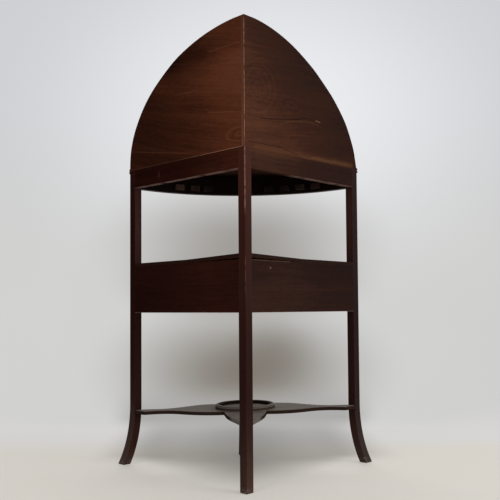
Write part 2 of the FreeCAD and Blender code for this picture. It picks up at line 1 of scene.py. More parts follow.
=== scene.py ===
# %% [markdown]
# # Corner washstand in Blender
# The stand comes in as a fixed frame of real joinery pieces, in metres. It could be modelled once more
# here, but two sets of joints and sizes would drift apart, so nothing in this lesson moves or reshapes
# the frame. The lesson gives each piece its timber and its wear, puts the stand in a pale studio and
# sets the camera.

# %% Load the frame
import math
import bpy
from mathutils import Matrix, Vector


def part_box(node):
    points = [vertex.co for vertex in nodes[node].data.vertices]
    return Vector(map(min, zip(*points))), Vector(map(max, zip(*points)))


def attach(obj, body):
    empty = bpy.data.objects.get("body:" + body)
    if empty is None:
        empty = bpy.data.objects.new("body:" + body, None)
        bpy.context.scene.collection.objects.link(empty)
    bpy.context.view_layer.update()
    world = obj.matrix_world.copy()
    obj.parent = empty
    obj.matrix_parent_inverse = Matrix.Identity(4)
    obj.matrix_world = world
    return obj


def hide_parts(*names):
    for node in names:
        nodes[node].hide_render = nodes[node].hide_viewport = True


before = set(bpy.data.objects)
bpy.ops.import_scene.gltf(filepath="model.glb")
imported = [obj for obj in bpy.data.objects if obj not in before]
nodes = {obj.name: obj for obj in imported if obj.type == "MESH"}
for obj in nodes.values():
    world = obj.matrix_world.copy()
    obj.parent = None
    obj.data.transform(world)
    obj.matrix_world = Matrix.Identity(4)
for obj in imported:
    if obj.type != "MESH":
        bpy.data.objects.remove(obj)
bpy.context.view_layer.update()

print("pieces:", len(nodes))

# %% [markdown]
# ## Camera
# The photograph was taken from behind, with the back corner nearest the lens. A camera could be aimed
# by eye, but then the two pictures would never lie on each other. The place, tilt and focal length
# below come from lining up the legs, rails and boards with their outlines.

# %% Camera
back_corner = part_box("back_leg")[1][1]
camera_right = -0.01835
camera_away = 1.68553
camera_height = 0.42024
camera_yaw = 0.0072
camera_pitch = 0.0441
camera_roll = -0.0066
focal_pixels = 740.36
center_pixels = (242.7, 275.11)
frame_pixels = 500.0
sensor_width = 36.0


def camera_matrix():
    sin_yaw, cos_yaw = math.sin(camera_yaw), math.cos(camera_yaw)
    sin_pitch, cos_pitch = math.sin(camera_pitch), math.cos(camera_pitch)
    forward = Vector((-sin_yaw * cos_pitch, -cos_yaw * cos_pitch, sin_pitch))
    level_right = Vector((-cos_yaw, sin_yaw, 0.0))
    level_up = level_right.cross(forward)
    right = math.cos(camera_roll) * level_right + math.sin(camera_roll) * level_up
    upward = -math.sin(camera_roll) * level_right + math.cos(camera_roll) * level_up
    place = Vector((-camera_right, back_corner + camera_away, camera_height))
    return Matrix.Translation(place) @ Matrix((right, upward, -forward)).transposed().to_4x4()


def show(name, data):
    thing = bpy.data.objects.new(name, data)
    bpy.context.scene.collection.objects.link(thing)
    return thing


lens = bpy.data.cameras.new("camera")
lens.sensor_width = sensor_width
lens.lens = focal_pixels / frame_pixels * sensor_width
lens.shift_x = 0.5 - center_pixels[0] / frame_pixels
lens.shift_y = center_pixels[1] / frame_pixels - 0.5
camera = show("camera", lens)
camera.matrix_world = camera_matrix()
bpy.context.scene.camera = camera
print("lens", round(lens.lens, 2), "shift", round(lens.shift_x, 4), round(lens.shift_y, 4))

# %% [markdown]
# ## Arithmetic with nodes
# Every timber below is a tree of shader nodes, and most of its nodes only add, multiply or compare.
# They could be placed and linked one by one. Here a Value stands for one output of a node, and sums and
# products of values add the Math nodes themselves, so that a tree reads like plain arithmetic.

# %% Values
class Value:
    def __init__(self, socket):
        self.socket = socket
        self.tree = socket.id_data

    def __add__(self, other):
        return calc("ADD", self, other)

    def __sub__(self, other):
        return calc("SUBTRACT", self, other)

    def __rsub__(self, other):
        return calc("SUBTRACT", other, self)

    def __mul__(self, other):
        return calc("MULTIPLY", self, other)

    def __truediv__(self, other):
        return calc("DIVIDE", self, other)

    def __neg__(self):
        return calc("MULTIPLY", self, -1.0)

    def __abs__(self):
        return calc("ABSOLUTE", self)

    __radd__ = __add__
    __rmul__ = __mul__


def feed(socket, value):
    if isinstance(value, Value):
        socket.id_data.links.new(value.socket, socket)
    else:
        socket.default_value = value


def add_node(tree, kind, settings=(), **sockets):
    node = tree.nodes.new(kind)
    for label, value in settings:
        setattr(node, label, value)
    for label, value in sockets.items():
        feed(node.inputs[label.replace("_", " ")], value)
    return node


def tree_of(*terms):
    return next(term.tree for term in terms if isinstance(term, Value))


def calc(operation, *terms):
    node = add_node(tree_of(*terms), "ShaderNodeMath", [("operation", operation)])
    for socket, term in zip(node.inputs, terms):
        feed(socket, term)
    return Value(node.outputs[0])


print("node helpers ready")

# %% [markdown]
# ## Patterns and places
# Each helper adds one node and gives back its result: a smooth step between two numbers, a stretched or
# shifted point, a cloud of noise, and a point taken apart or put together.

# %% Pattern helpers
def new_value(tree, kind, settings=(), **sockets):
    return Value(add_node(tree, kind, settings, **sockets).outputs[0])


def reading(tree, kind, label):
    return Value(tree.nodes.new(kind).outputs[label])


def fade(value, start, end):
    smooth = [("interpolation_type", "SMOOTHSTEP")]
    return new_value(value.tree, "ShaderNodeMapRange", smooth, Value=value, From_Min=start, From_Max=end)


def stretch(vector, factors, offset=(0.0, 0.0, 0.0)):
    return new_value(vector.tree, "ShaderNodeMapping", Vector=vector, Scale=factors, Location=offset)


def noise(vector, scale, detail=3.0, roughness=0.5):
    return new_value(vector.tree, "ShaderNodeTexNoise", Vector=vector, Scale=scale, Detail=detail,
                     Roughness=roughness)


def split(vector):
    node = add_node(vector.tree, "ShaderNodeSeparateXYZ", Vector=vector)
    return [Value(output) for output in node.outputs]


def join(x, y, z):
    return new_value(tree_of(x, y, z), "ShaderNodeCombineXYZ", X=x, Y=y, Z=z)


def distance(x, y):
    return calc("SQRT", x * x + y * y)


def object_point(tree):
    return reading(tree, "ShaderNodeTexCoord", "Object")


def surface_normal(tree):
    return split(reading(tree, "ShaderNodeNewGeometry", "Normal"))


print("pattern helpers ready")

# %% [markdown]
# ## Tones
# A tone is written as a screen shows it, in steps of 255. Blender wants linear light, so each tone goes
# through the usual screen curve first. A mix lays one tone over another, and a ramp runs through
# several tones in turn.

# %% Tone helpers
mix_factor, mix_under, mix_over, mix_result = 0, 6, 7, 2


def paint(red, green, blue):
    channels = []
    for value in (red, green, blue):
        share = value / 255.0
        channels.append(share / 12.92 if share <= 0.04045 else ((share + 0.055) / 1.055) ** 2.4)
    return (*channels, 1.0)


def as_color(value):
    return value if isinstance(value, Value) or len(value) == 4 else paint(*value)


def mix(factor, under, over):
    node = add_node(tree_of(factor, under, over), "ShaderNodeMix", [("data_type", "RGBA")])
    feed(node.inputs[mix_factor], factor)
    feed(node.inputs[mix_under], as_color(under))
    feed(node.inputs[mix_over], as_color(over))
    return Value(node.outputs[mix_result])


def ramp(value, tones):
    node = add_node(value.tree, "ShaderNodeValToRGB", Fac=value)
    elements = node.color_ramp.elements
    for index, tone in enumerate(tones):
        share = index / (len(tones) - 1)
        element = elements[index] if index < 2 else elements.new(share)
        element.position = share
        element.color = paint(*tone)
    return Value(node.outputs[0])


print("mid grey is", round(paint(128, 128, 128)[0], 3), "in linear light")

# %% [markdown]
# ## The studio
# The photograph has a pale floor that runs up into a pale wall just behind the stand. One curved sheet
# could be both, but it would keep the lamps from the front of the stand. So there are two flat sheets:
# a wide floor takes the soft shadows, and the wall only shows its colour to the camera and lets the
# lamps through.

# %% Floor and wall
wall_behind = 0.62
wall_top = 5.0
room_half = 7.0
room_tint = paint(211, 211, 211)


def new_sheet(name, corners):
    data = bpy.data.meshes.new(name)
    data.from_pydata(corners, [], [(0, 1, 2, 3)])
    return show(name, data)


floor = new_sheet("studio_floor", [(-room_half, -room_half, 0.0), (room_half, -room_half, 0.0),
                                   (room_half, room_half, 0.0), (-room_half, room_half, 0.0)])
wall = new_sheet("studio_wall", [(room_half, -wall_behind, 0.0), (-room_half, -wall_behind, 0.0),
                                 (-room_half, -wall_behind, wall_top), (room_half, -wall_behind, wall_top)])
wall.visible_diffuse = wall.visible_glossy = wall.visible_shadow = False
print("wall", wall_behind, "m behind the middle of the stand")

# %% [markdown]
# The floor is drawn as warm paper that turns cooler towards the wall. Half of its colour glows for the
# camera alone, so that it stays pale where the lamps are weak, and far out it fades into the colour of
# the room. A soft shade lies under and behind the stand, widest near the wall.

# %% Floor colours
paper_glow = 0.5
floor_fades = (1.0, 2.2)
shade_tint = (20, 18, 15)
shade_sides = (0.46, 0.26)
shade_middle = (0.22, 0.0)
# Places along y: where the shade begins in the middle, its last beginning, and where it is full
shade_begin, shade_last_begin, shade_full = 0.26, -0.1, -0.14
shade_far_end = (-1.4, -0.4)


def new_material(name):
    material = bpy.data.materials.new(name)
    material.use_nodes = True
    return material


def stage_material(name, build):
    material = new_material(name)
    tree = material.node_tree
    tree.nodes.clear()
    add_node(tree, "ShaderNodeOutputMaterial", Surface=build(tree))
    return material


def shader_mix(factor, under, over):
    node = tree_of(factor).nodes.new("ShaderNodeMixShader")
    for socket, value in zip(node.inputs, (factor, under, over)):
        feed(socket, value)
    return Value(node.outputs[0])


def glow(tree, color):
    return new_value(tree, "ShaderNodeEmission", Color=color)


def floor_shade(x, y):
    aside = abs(x)
    begin = calc("MAXIMUM", aside * -1.3 + shade_begin, shade_last_begin)
    full = aside * -0.3 + shade_full
    depth = fade(y, begin, full) * fade(y, *shade_far_end)
    strength = fade(aside, *shade_middle) * 0.12 + 0.42
    return fade(aside, *shade_sides) * depth * strength


def floor_shader(tree):
    point = object_point(tree)
    x, y, z = split(point)
    shade = floor_shade(x, y)
    cool = fade(y, -0.25, -0.5)
    color = mix(cool, mix(noise(point, 1.6), (237, 232, 224), (241, 237, 230)), (239, 238, 237))
    lit = new_value(tree, "ShaderNodeBsdfDiffuse", Color=mix(shade, color, shade_tint))
    paper = glow(tree, mix(shade, mix(cool, (210, 207, 199), (211, 210, 208)), shade_tint))
    seen = reading(tree, "ShaderNodeLightPath", "Is Camera Ray")
    base = shader_mix(seen * paper_glow, lit, paper)
    return shader_mix(fade(distance(x, y), *floor_fades), base, glow(tree, room_tint))


floor.data.materials.append(stage_material("floor_paper", floor_shader))
print("floor fades between", floor_fades, "m")

# %% [markdown]
# The wall only glows. Its colour is built up from soft ovals: a pool of painted light high up, and darker
# ones of painted shade where the stand shades it. Near the floor it turns clear, so that no line is seen
# where the two meet, and its back is clear as well, for views from the other side.

# %% Wall colours
wall_cools = (0.55, 1.25)
foot_shade_sides = (0.47, 0.33)
foot_shade_height = (0.17, 0.04)
clear_height, clear_rise = 0.05, 0.17
wall_shade = (132, 126, 117)
# Each oval: tint, middle, height, half width, half height, strength
wall_ovals = (
    # The first oval is painted light; the others are painted shade.
    ((240, 241, 244), -0.1, 1.1, 0.85, 0.62, 0.9),
    (wall_shade, 0.0, 0.65, 0.47, 0.24, 0.74),
    (wall_shade, 0.0, 0.5, 0.42, 0.13, 0.55),
    (wall_shade, 0.0, 0.2, 0.47, 0.25, 1.0),
    ((122, 114, 104), -0.1, 0.26, 0.16, 0.12, 0.5),
)


def wall_shader(tree):
    point = object_point(tree)
    x, y, z = split(point)
    color = mix(noise(point, 1.3, 2.0), (204, 204, 203), (213, 213, 212))
    color = mix(fade(z, *wall_cools), color, (207, 208, 211))
    for tint, middle, height, half_width, half_height, strength in wall_ovals:
        far = distance((x - middle) / half_width, (z - height) / half_height)
        color = mix(fade(far, 1.25, 0.0) * strength, color, tint)
    aside = abs(x)
    foot_shade = fade(aside, *foot_shade_sides) * fade(z, *foot_shade_height)
    color = mix(foot_shade, color, (171, 170, 169))
    clear = new_value(tree, "ShaderNodeBsdfTransparent")
    backside = reading(tree, "ShaderNodeNewGeometry", "Backfacing")
    rising = fade(z, 0.0, fade(aside, 0.6, 1.3) * clear_rise + clear_height)
    return shader_mix(backside, shader_mix(rising, clear, glow(tree, color)), clear)


wall.data.materials.append(stage_material("wall_paper", wall_shader))
print("ovals on the wall:", len(wall_ovals))

# %% [markdown]
# ## Light
# The photograph has soft daylight with hardly a highlight. One lamp would throw hard shadows, so a
# broad box stands on each side of the camera, the stronger one on the photograph's right, and a third
# lights the bowed front. Together with the pale room they make a level at which a colour shows about as
# it is written.

# %% Lamps
stand_middle = Vector((0.0, 0.0, 0.6))


def lamp(name, place, width, height, watts):
    data = bpy.data.lights.new(name, "AREA")
    data.shape = "RECTANGLE"
    data.size, data.size_y = width, height
    data.energy = watts
    thing = show(name, data)
    thing.location = place
    thing.rotation_euler = (stand_middle - Vector(place)).to_track_quat("-Z", "Y").to_euler()


lamp("right_box", place=(-2.4, 1.3, 1.1), width=1.3, height=1.9, watts=30.0)
lamp("left_box", place=(1.7, 2.3, 1.4), width=1.2, height=1.8, watts=22.0)
lamp("front_box", place=(0.3, -2.2, 2.4), width=2.0, height=1.4, watts=26.0)
print("lamps:", len(bpy.data.lights))

# %% [markdown]
# The room lights the stand from all sides, most from the photograph's right. The camera sees one even
# grey instead. A Light Path node tells the two kinds of ray apart.

# %% The room
dim_side = (0.16, 0.155, 0.15, 1.0)
bright_side = (0.78, 0.77, 0.76, 1.0)
world = bpy.data.worlds.new("room")
bpy.context.scene.world = world
world.use_nodes = True
room = world.node_tree
room.nodes.clear()
sideways = split(reading(room, "ShaderNodeTexCoord", "Generated"))[0]
daylight = mix(fade(sideways, 0.9, -0.9), dim_side, bright_side)
lighting = new_value(room, "ShaderNodeBackground", Color=daylight)
backdrop = new_value(room, "ShaderNodeBackground", Color=room_tint)
camera_ray = reading(room, "ShaderNodeLightPath", "Is Camera Ray")
add_node(room, "ShaderNodeOutputWorld", Surface=shader_mix(camera_ray, lighting, backdrop))
bpy.context.scene.view_settings.view_transform = "Standard"
print("nodes in the room:", len(room.nodes))

# %% [markdown]
# ## Grain
# Mahogany shows broad bands, fine streaks, short dark pores and blotches, all drawn out along the
# timber. A picture of wood would have seams and one fixed size. Noise that is stretched along x has
# neither, so one shared node group makes each layer of the grain from it, in metres. It expects a point
# whose x runs along the timber.

# %% Grain group
# Each layer: noise per metre along and across, detail, roughness, where its mask starts and is full
grain_layers = {
    "Bands": (1.4, 26.0, 3.0, 0.55, 0.3, 0.7),
    "Streaks": (6.0, 210.0, 4.0, 0.6, 0.32, 0.68),
    "Pores": (70.0, 1300.0, 2.0, 0.5, 0.6, 0.72),
    "Blotches": (5.0, 9.0, 3.0, 0.5, 0.32, 0.68),
    "Mottle": (45.0, 150.0, 4.0, 0.7, 0.28, 0.72),
}


def values_of(node):
    return {socket.name: Value(socket) for socket in node.outputs}


def add_socket(tree, label, side):
    kind = "NodeSocketVector" if label in ("Point", "Normal") else "NodeSocketFloat"
    return tree.interface.new_socket(label, in_out=side, socket_type=kind)


def new_group(name, sizes, outputs):
    tree = bpy.data.node_groups.new(name, "ShaderNodeTree")
    add_socket(tree, "Point", "INPUT")
    for label, value in sizes.items():
        add_socket(tree, label, "INPUT").default_value = value
    for label in outputs:
        add_socket(tree, label, "OUTPUT")
    given = values_of(tree.nodes.new("NodeGroupInput"))
    return tree, given, tree.nodes.new("NodeGroupOutput").inputs


def grain_group():
    tree, given, result = new_group("timber_grain", {"Waviness": 0.012}, grain_layers)
    x, y, z = split(given["Point"])
    sway = noise(stretch(given["Point"], (2.6, 5.0, 5.0)), 1.0, 2.0) - 0.5
    shift = sway * given["Waviness"]
    point = join(x, y + shift, z + shift)
    for label, (along, across, detail, roughness, start, full) in grain_layers.items():
        layer = noise(stretch(point, (along, across, across)), 1.0, detail, roughness)
        feed(result[label], fade(layer, start, full))
    return tree


timber_grain = grain_group()
print(timber_grain.name, [item.name for item in timber_grain.interface.items_tree])

# %% [markdown]
# ## Rubbed edges and dust
# Old arrises are rubbed paler, and dust lies on what looks up. Edges could be painted one by one. A
# Bevel node finds them all: where its rounded normal leaves the flat one there is an arris, and a noise
# breaks the rubbing into patches. The rounded normal itself is handed on, so that each arris catches a
# little light.

# %% Rubbed edge and dust groups
def rubbed_edge_group():
    tree, given, result = new_group("rubbed_edge", {"Width": 0.0015}, ["Mask", "Normal"])
    rounded = new_value(tree, "ShaderNodeBevel", [("samples", 4)], Radius=given["Width"])
    agreement = add_node(tree, "ShaderNodeVectorMath", [("operation", "DOT_PRODUCT")])
    feed(agreement.inputs[0], rounded)
    feed(agreement.inputs[1], reading(tree, "ShaderNodeNewGeometry", "Normal"))
    edge = fade(Value(agreement.outputs["Value"]), 0.985, 0.86)
    broken = fade(noise(given["Point"], 55.0, 4.0, 0.65), 0.4, 0.62)
    feed(result["Mask"], edge * broken)
    feed(result["Normal"], rounded)
    return tree


def dust_group():
    tree, given, result = new_group("settled_dust", {}, ["Mask"])
    facing_up = fade(surface_normal(tree)[2], 0.45, 0.95)
    cloud = fade(noise(stretch(given["Point"], (14.0, 40.0, 40.0)), 1.0, 5.0, 0.65), 0.25, 0.75)
    feed(result["Mask"], facing_up * (cloud * 0.4 + 0.6))
    return tree


def use(group, **values):
    tree = values["Point"].tree
    return values_of(add_node(tree, "ShaderNodeGroup", [("node_tree", group)], **values))


rubbed_edge = rubbed_edge_group()
settled_dust = dust_group()
print("groups:", [group.name for group in bpy.data.node_groups])

# %% [markdown]
# ## Single marks
# The backs of the boards have cracks, eyes of growth rings and soft stains at places of their own.
# Three groups paint one such mark each: a soft oval patch, an eye of rings, and a wandering hairline. A
# mark's place is a distance along the timber and a height, in metres.

# %% Oval marks
oval_sizes = {"Along": 0.1, "Height": 0.9, "Length": 0.05, "Rise": 0.05}


def oval_distance(given):
    x, y, z = split(given["Point"])
    return distance((x - given["Along"]) / given["Length"], (z - given["Height"]) / given["Rise"])


def patch_group():
    tree, given, result = new_group("soft_patch", oval_sizes, ["Mask"])
    ragged = noise(given["Point"], 30.0) * 0.5 - 0.25
    feed(result["Mask"], fade(oval_distance(given) + ragged, 1.0, 0.1))
    return tree


def ring_group():
    tree, given, result = new_group("growth_rings", {**oval_sizes, "Count": 4.0}, ["Mask"])
    ragged = noise(given["Point"], 14.0, 2.0) * 0.36 - 0.18
    far = oval_distance(given) + ragged
    wave = calc("SINE", far * given["Count"] * math.tau)
    feed(result["Mask"], fade(wave, 0.2, 1.0) * fade(far, 1.0, 0.6))
    return tree


soft_patch = patch_group()
growth_rings = ring_group()
print("oval marks:", soft_patch.name, growth_rings.name)

# %% [markdown]
# A hairline starts at one end, rises with its slope, may bow between its ends and sways a little on the
# way. It thins out over its last few millimetres.

# %% Hairlines
hairline_sizes = {"Start": 0.0, "End": 0.1, "Height": 0.9, "Slope": 0.0, "Sway": 0.003, "Thickness": 0.001,
                  "Bow": 0.0}
hairline_taper = 0.006


def hairline_group():
    tree, given, result = new_group("hairline", hairline_sizes, ["Mask"])
    x, y, z = split(given["Point"])
    gone = x - given["Start"]
    share = gone / (given["End"] - given["Start"])
    arch = share * (1.0 - share) * 4.0
    sway = noise(join(x, given["Height"], 0.0), 15.0, 1.0) - 0.5
    line = gone * given["Slope"] + arch * given["Bow"] + given["Height"] + sway * given["Sway"]
    near = fade(abs(z - line), given["Thickness"], 0.0)
    ends = fade(gone, 0.0, hairline_taper) * fade(given["End"] - x, 0.0, hairline_taper)
    feed(result["Mask"], near * ends)
    return tree


def marker(group, *labels):
    def mark(tone, strength, *sizes):
        def painted(place, color):
            mask = use(group, Point=place, **dict(zip(labels, sizes)))["Mask"]
            return mix(mask * strength, color, tone)
        return painted
    return mark


hairline = hairline_group()
patch = marker(soft_patch, "Along", "Height", "Length", "Rise")
rings = marker(growth_rings, "Along", "Height", "Length", "Rise", "Count")
crack = marker(hairline, "Start", "End", "Height", "Slope", "Sway", "Thickness", "Bow")
print("line marks:", hairline.name)

# %% [markdown]
# ## Which way the timber runs
# Each board or leg was sawn with its length along the grain, so the pattern's x has to run along the
# piece. The wall pieces lie at 45 degrees: a Mapping node turns them and brings the back corner to
# zero, so that x is the distance from the corner. Standing legs put their height first.

# %% Grain directions
def along_wall(degrees):
    turn = math.radians(degrees)

    def direction(tree):
        corner = (back_corner * math.sin(turn), -back_corner * math.cos(turn), 0.0)
        return new_value(tree, "ShaderNodeMapping", Vector=object_point(tree), Rotation=(0.0, 0.0, turn),
                         Location=corner)
    return direction


def front_to_back(tree):
    x, y, z = split(object_point(tree))
    return join(y, x, z)


def upright(tree):
    x, y, z = split(object_point(tree))
    return join(z, x, y)


along_left = along_wall(135.0)
along_right = along_wall(45.0)
across_stand = object_point
print("back corner at y =", round(back_corner, 4))

# %% [markdown]
# ## Mahogany
# Old mahogany was stained and waxed: red-brown with darker bands, faint streaks, short open pores,
# arrises rubbed paler by long use, and grey dust where it lies flat. A material for each piece could be
# drawn by itself. One function makes them all, so that they look cut from the same tree. A piece gives
# its tones from dark to light, and a field that says where it is dark and where it is pale; on the wall
# pieces that field is partly painted light, paler towards the back corner. The grain moves that value
# up and down.

# %% Fields and wax
wax_roughness = 0.22


def even(place):
    return 0.5


# Partly painted light falloff: paler towards the back corner, darker towards the outer end.
def tone_and_light_falloff(start, end, low, high):
    def field(place):
        return fade(split(place)[0], start, end) * (high - low) + low
    return field


def hidden_side(tree):
    x, y, z = surface_normal(tree)
    return fade(y - z, -0.35, 0.1)


def wax(shader, amount, worn):
    bare = calc("MAXIMUM", worn, hidden_side(worn.tree))
    feed(shader["Coat Weight"], bare * -amount + amount)
    feed(shader["Coat Roughness"], wax_roughness)


def relief(shader, normal, height, strength, depth):
    feed(shader["Normal"], new_value(height.tree, "ShaderNodeBump", Strength=strength, Distance=depth,
                                     Height=height, Normal=normal))


print("wax roughness", wax_roughness)

# %% [markdown]
# Marks are painted over the plain timber, and late marks over its wear and dust as well. The wax lies
# only on the show sides: worn arrises, dusty tops and what faces the wall or the floor have none.

# %% Mahogany
def mahogany(name, direction, tones, seed, field=even, figure=0.45, roughness=0.46, gloss=0.0, wear=0.3,
             wear_tone=(104, 72, 60), edge_width=0.0014, dust=0.0, dust_tone=(106, 102, 97), waviness=0.012,
             pores=0.45, tilt=0.0, polish=0.0, marks=(), late_marks=()):
    material = new_material(name)
    tree = material.node_tree
    shader = tree.nodes["Principled BSDF"].inputs
    place = direction(tree)
    x, y, z = split(place)
    point = stretch(join(x, y, z - x * tilt), (1.0, 1.0, 1.0), (0.37 * seed, 0.61 * seed, 0.23 * seed))
    grain = use(timber_grain, Point=point, Waviness=waviness)
    tone = grain["Bands"] * 0.3 + grain["Streaks"] * 0.26 + (grain["Blotches"] + grain["Mottle"]) * 0.22
    color = ramp(field(place) + (tone - 0.5) * figure, tones)
    color = mix(grain["Pores"] * pores, color, [0.55 * value for value in tones[0]])
    for painted in marks:
        color = painted(place, color)
    rub = use(rubbed_edge, Point=place, Width=edge_width)
    film = use(settled_dust, Point=place)["Mask"] * dust
    color = mix(film, mix(rub["Mask"] * wear, color, wear_tone), dust_tone)
    for painted in late_marks:
        color = painted(place, color)
    feed(shader["Base Color"], color)
    feed(shader["Roughness"], grain["Blotches"] * 0.1 + (roughness - 0.05) + film * 0.3)
    feed(shader["Specular IOR Level"], gloss)
    if polish:
        wax(shader, polish, calc("MAXIMUM", rub["Mask"], film))
    height = grain["Streaks"] * 0.5 - grain["Pores"] + grain["Blotches"] * 0.6
    relief(shader, rub["Normal"], height, strength=0.35, depth=0.0004)
    return material


def finish_piece(name, material):
    data = nodes[name].data
    data.materials.clear()
    data.materials.append(material)


def dress(name, direction, tones, seed, **finish):
    finish_piece(name, mahogany(name + "_timber", direction, tones, seed, **finish))


print("mahogany drawn by", timber_grain.name)

# %% [markdown]
# ## Back leg
# The back leg is warm and red at the top, dark in the middle, and scuffed grey at the foot. Its outer
# arris carries painted highlights above the tier and at the tier. The field is simply the height, so
# that the ramp's tones run up the leg.

# %% Back leg
leg_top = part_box("back_leg")[1][2]
back_leg_tones = [(68, 48, 41), (50, 30, 25), (38, 14, 10), (38, 13, 8), (43, 17, 12), (47, 20, 14),
                  (52, 24, 18), (60, 29, 21), (63, 31, 22)]


def up_the_leg(place):
    return split(place)[0] / leg_top


def corner_arris(bottom, top, tone, strength, width):
    def painted(place, color):
        x, y, z = split(object_point(place.tree))
        near = fade(back_corner - y, width, 0.0006)
        tall = fade(z, bottom - 0.01, bottom + 0.02) * fade(z, top + 0.01, top - 0.02)
        broken = fade(noise(join(0.0, 0.0, z), 60.0), 0.32, 0.58)
        return mix(near * tall * broken * strength, color, tone)
    return painted


def scuffs(height, tone, strength):
    def painted(place, color):
        point = object_point(place.tree)
        speckle = fade(noise(point, 260.0, 4.0, 0.7), 0.5, 0.64)
        return mix(fade(split(point)[2], height, 0.25 * height) * speckle * strength, color, tone)
    return painted


# The two corner arris marks are painted highlights along the back corner.
dress("back_leg", upright, back_leg_tones, 3, field=up_the_leg, figure=0.16, gloss=0.05,
      marks=(corner_arris(0.64, 0.8, (160, 122, 102), 0.65, 0.0017),
             corner_arris(0.45, 0.545, (110, 74, 62), 0.4, 0.0018),
             scuffs(0.016, (150, 132, 122), 0.7)))
print("back leg", round(leg_top, 3), "m tall")

# %% [markdown]
# ## Side and front legs
# The side legs are darker, one redder and one greyer, and their inner cheeks carry painted light that
# makes them paler than their wall faces. The front leg is warmer. All three are scuffed where the foot
# meets the floor.

# %% Side and front legs
red_leg_tones = [(72, 57, 52), (41, 23, 20), (34, 11, 8), (30, 9, 7), (33, 12, 9), (37, 15, 11)]
grey_leg_tones = [(54, 44, 41), (35, 20, 18), (32, 14, 12), (29, 13, 12), (32, 16, 15), (35, 18, 17)]
cheek_light_tones = [(58, 36, 32), (46, 25, 21), (42, 21, 18), (44, 24, 21), (66, 40, 35), (64, 38, 33)]
leg_finish = {"wear": 0.4, "polish": 0.35}
scuff_tone = (140, 120, 108)
diagonal = math.sqrt(0.5)


# Painted light: the inner cheek, the face turned into the stand, gets paler tones than the wall face.
def painted_light_cheek(side):
    def painted(place, color):
        x, y, z = surface_normal(place.tree)
        inward = (x * -side + y) * diagonal
        streak = fade(noise(stretch(place, (6.0, 160.0, 160.0)), 1.0), 0.3, 0.7)
        tone = mix(streak * 0.3, ramp(up_the_leg(place), cheek_light_tones), (36, 18, 14))
        return mix(fade(inward, 0.8, 0.95), color, tone)
    return painted


foot_scuffs = scuffs(0.02, scuff_tone, 0.6)
worn_foot = patch((158, 144, 134), 0.55, 0.014, -0.078, 0.005, 0.012)
dress("right_leg", upright, red_leg_tones, 5, field=up_the_leg, figure=0.2, gloss=0.02,
      marks=(painted_light_cheek(1.0), foot_scuffs), **leg_finish)
dress("left_leg", upright, grey_leg_tones, 7, field=up_the_leg, figure=0.2, gloss=0.05,
      marks=(painted_light_cheek(-1.0), foot_scuffs, worn_foot), **leg_finish)
dress("front_leg", upright, [(40, 18, 13), (62, 29, 20)], 9, gloss=0.05,
      marks=(scuffs(0.03, scuff_tone, 0.6),), **leg_finish)
print("side and front legs finished")

# %% [markdown]
# ## Splash boards
# The backs of the two splash boards are dull and show their figure. Both are pale near the corner and
# dark towards their outer ends, partly in their finish and partly as painted light falloff. Plain noise
# gives such figure but no single crack, so the cracks, rings and stains that the photograph shows are
# marks at their own places.

# %% Board fields and edges
board_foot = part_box("left_splash_board")[0][2]
board_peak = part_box("left_splash_board")[1][2]
lean_height = 0.95
board_finish = {"gloss": 0.02, "polish": 0.3, "wear": 0.4, "roughness": 0.6, "waviness": 0.03,
                "edge_width": 0.001}


# Partly painted light falloff: paler near the back corner, darker outwards, and darker near the top.
def board_tone_and_light_falloff(dark, bright, lean, low, high, top_fall):
    def field(place):
        x, y, z = split(place)
        slant = (lean_height - z) * lean + x
        top = fade(z, board_peak - 0.1, board_peak - 0.05) * -top_fall
        return (fade(slant, dark, bright) + top) * (high - low) + low
    return field


def seam_line(tone, strength, reach):
    def painted(place, color):
        x, y, z = split(place)
        near = fade(z - board_foot, 0.0022, 0.0006)
        along = fade(x, reach, 0.2 * reach) * 0.85 + 0.15
        patchy = fade(noise(join(x, 0.0, 0.0), 40.0), 0.15, 0.55)
        return mix(near * along * patchy * strength, color, tone)
    return painted


def end_grain(tones):
    def painted(place, color):
        x, y, z = surface_normal(place.tree)
        height = fade(split(place)[2], board_foot, board_peak)
        return mix(fade((x + y) * diagonal, 0.9, 0.97), color, ramp(height, tones))
    return painted


def on_the_back(painted):
    def kept(place, color):
        return mix(fade(abs(split(place)[1]), 0.004, 0.002), color, painted(place, color))
    return kept


print("splash boards from z", round(board_foot, 3), "to", round(board_peak, 3))

# %% [markdown]
# Left and right are meant from the front, so the right board is on the left of the photograph. It has
# an eye of growth rings low at the corner, dark and pale streaks, and a worn line along its foot. Later
# marks lie over earlier ones.

# %% Right splash board
# After its tone and strength, a mark gives its sizes in the order of its marker's labels
right_board_marks = (
    rings((48, 24, 15), 0.35, 0.018, 0.823, 0.045, 0.018, 2.5),
    rings((118, 78, 56), 0.22, 0.016, 0.823, 0.064, 0.026, 2.0),
    crack((112, 72, 52), 0.45, 0.008, 0.13, 0.873, 0.17, 0.006, 0.0016),
    crack((42, 19, 12), 0.5, 0.12, 0.24, 0.892, 0.3, 0.01, 0.0026),
    crack((104, 62, 42), 0.35, 0.16, 0.25, 0.954, 0.09, 0.008, 0.002),
    crack((112, 70, 50), 0.3, 0.01, 0.125, 1.036, 0.06, 0.008, 0.0026),
    crack((92, 56, 40), 0.5, 0.18, 0.43, 0.802, 0.165, 0.006, 0.0016),
    crack((52, 24, 15), 0.35, 0.04, 0.3, 1.0, 0.2, 0.02, 0.004),
    patch((36, 16, 9), 0.25, 0.135, 1.045, 0.06, 0.03),
    patch((96, 54, 30), 0.3, 0.08, 0.97, 0.11, 0.05),
    on_the_back(seam_line((150, 112, 90), 0.75, reach=0.26)),
)
right_board_tones = [(24, 8, 4), (56, 27, 15), (84, 44, 27), (102, 60, 43)]
